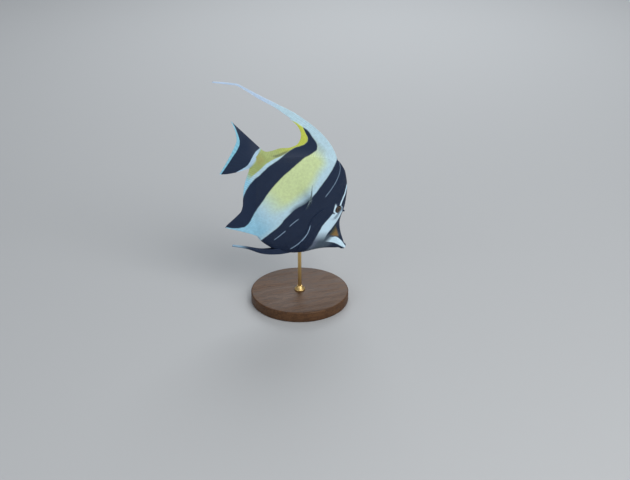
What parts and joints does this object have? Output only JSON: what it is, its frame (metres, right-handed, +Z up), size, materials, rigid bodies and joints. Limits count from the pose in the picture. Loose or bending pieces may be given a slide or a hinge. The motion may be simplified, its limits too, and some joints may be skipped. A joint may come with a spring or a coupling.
{
  "type": "moorish idol fish",
  "caption": "Life-size still model of a moorish idol swimming nose down, held over a round foot by an upright rod.",
  "frame": {"origin": "centre of the underside of the stand's round foot", "axes": "+Z up along the rod; +X the way the fish heads, nose down; -Y the fish's right side"},
  "size_m": [0.1477, 0.11, 0.2669],
  "materials": {
    "skin_black": "moist, finely scaled",
    "skin_pale": "moist, finely scaled",
    "skin_yellow": "moist, finely scaled",
    "snout_white": "moist, smooth",
    "fin_pale": "thin ribbed membrane",
    "fin_black": "thin ribbed membrane",
    "fin_clear": "thin see-through membrane",
    "eye": "wet",
    "stand_wood": "satin walnut",
    "stand_brass": "satin"
  },
  "bodies": {
    "root": {"snout": "snout_white", "lower_jaw": "skin_black", "head": "skin_black", "gill_cover_left": "skin_black", "gill_cover_right": "skin_black", "trunk": "skin_pale", "tail_stalk": "skin_yellow", "eye_left": "eye", "eye_right": "eye", "dorsal_fin": "fin_pale", "dorsal_streamer": "fin_pale", "anal_fin": "fin_black", "tail_fin": "fin_black", "pectoral_fin_left": "fin_clear", "pectoral_fin_right": "fin_clear", "pelvic_fin_left": "fin_black", "pelvic_fin_right": "fin_black", "stand_base": "stand_wood", "stand_collar": "stand_brass", "stand_rod": "stand_brass"}
  },
  "joints": []
}
